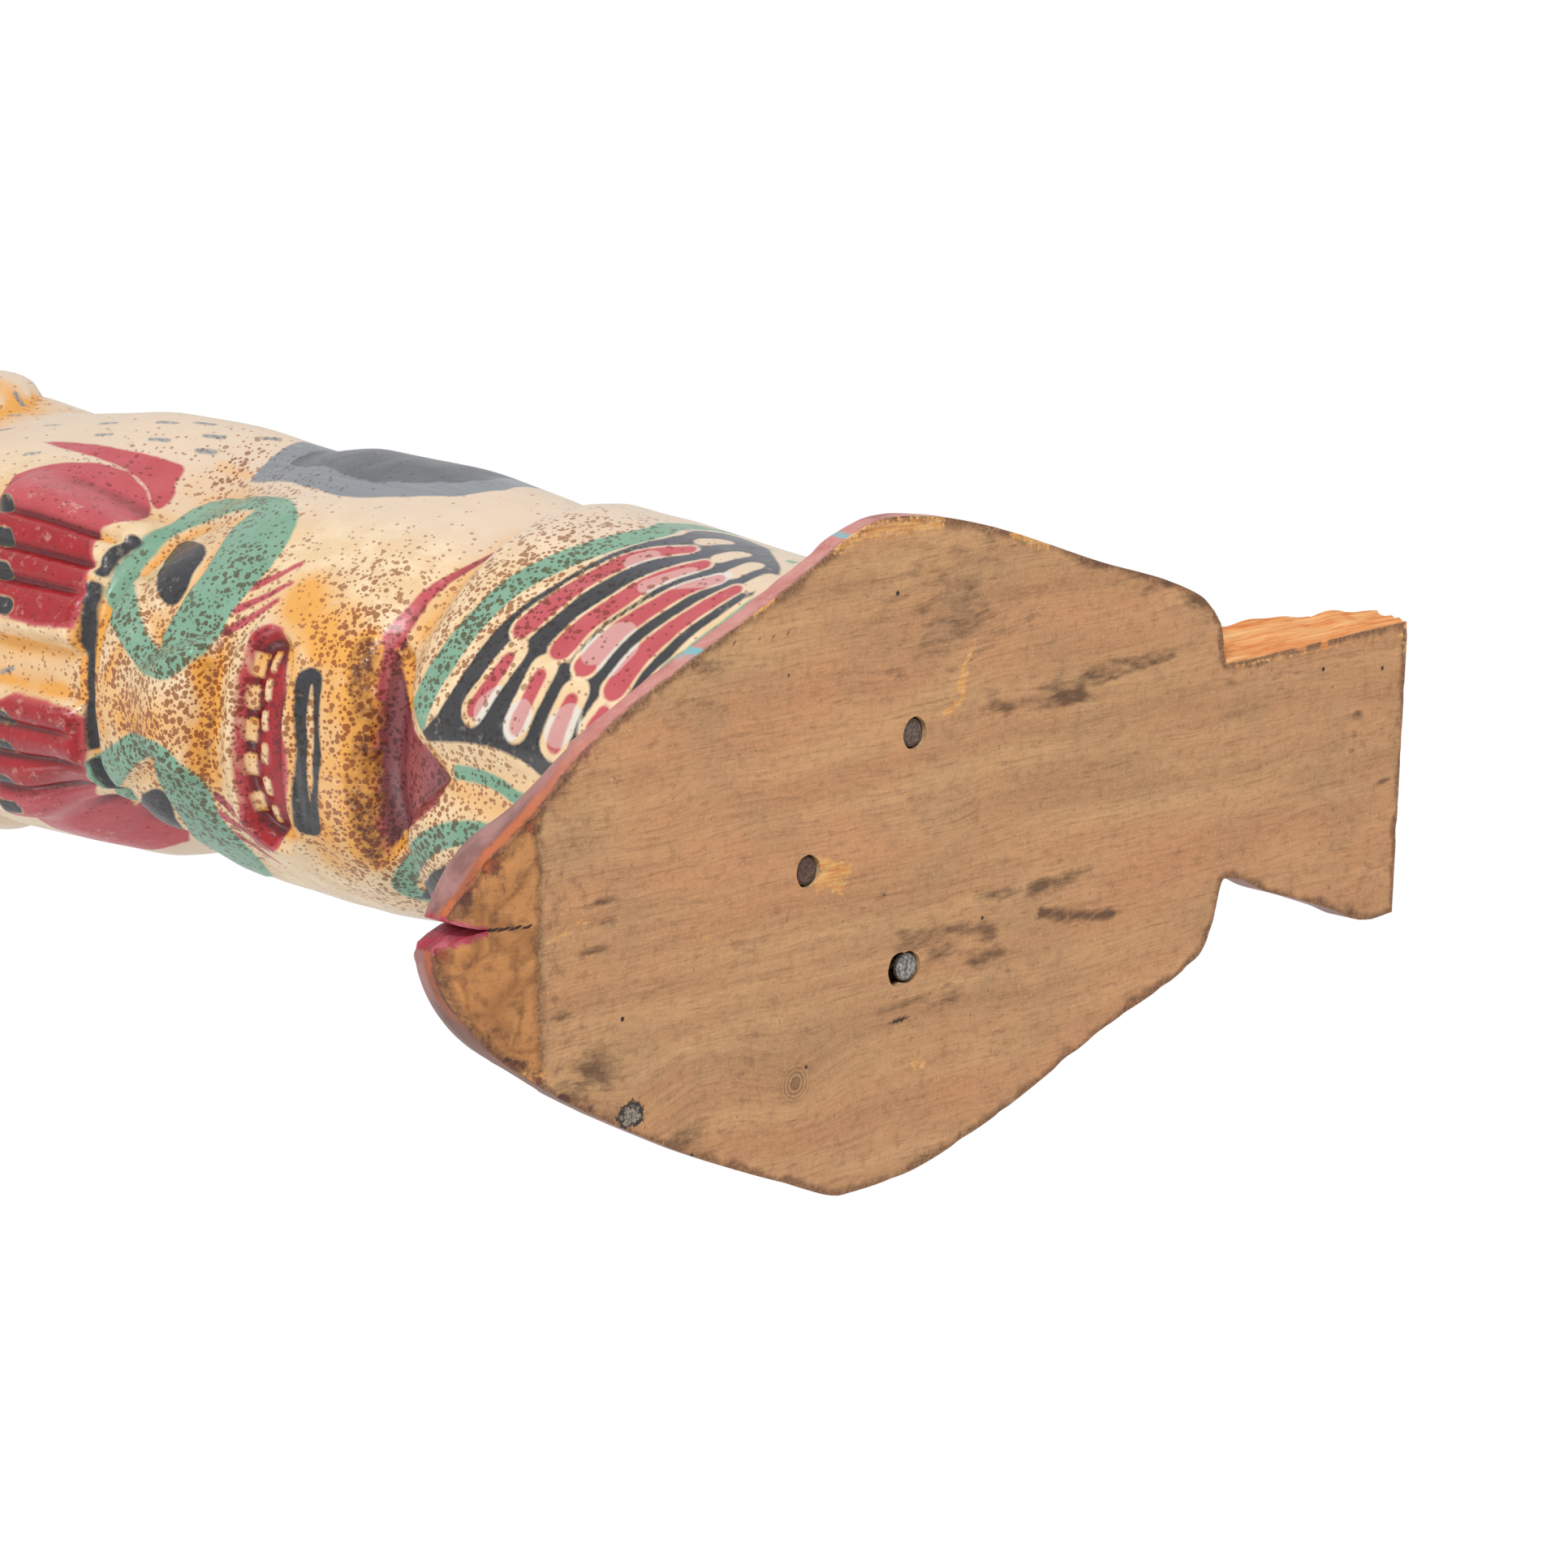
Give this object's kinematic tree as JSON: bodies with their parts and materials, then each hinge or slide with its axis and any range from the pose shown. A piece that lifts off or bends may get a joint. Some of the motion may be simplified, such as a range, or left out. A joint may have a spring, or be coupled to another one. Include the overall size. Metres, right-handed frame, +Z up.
{
  "type": "totem pole",
  "caption": "Carved, painted and varnished wooden model totem pole with stacked figures, nailed to a fish-shaped base board with a split tail.",
  "frame": {"origin": "on the board's flat underside, close below the pole's axis", "axes": "+Z up the pole, -Y the way the carved faces and the board's snout point, +X to the right of a viewer in front"},
  "size_m": [0.176, 0.36, 0.5921],
  "materials": {
    "painted_pole": "cream, red, green and black paint under glossy, yellowed varnish",
    "board_wood": "raw, stained softwood underneath, worn paint on the edges and top",
    "nail_steel": "dull steel with rust"
  },
  "bodies": {
    "root": {"pole": "painted_pole", "base_board": "board_wood", "nail_right": "nail_steel", "nail_front": "nail_steel", "nail_left": "nail_steel"}
  },
  "joints": []
}
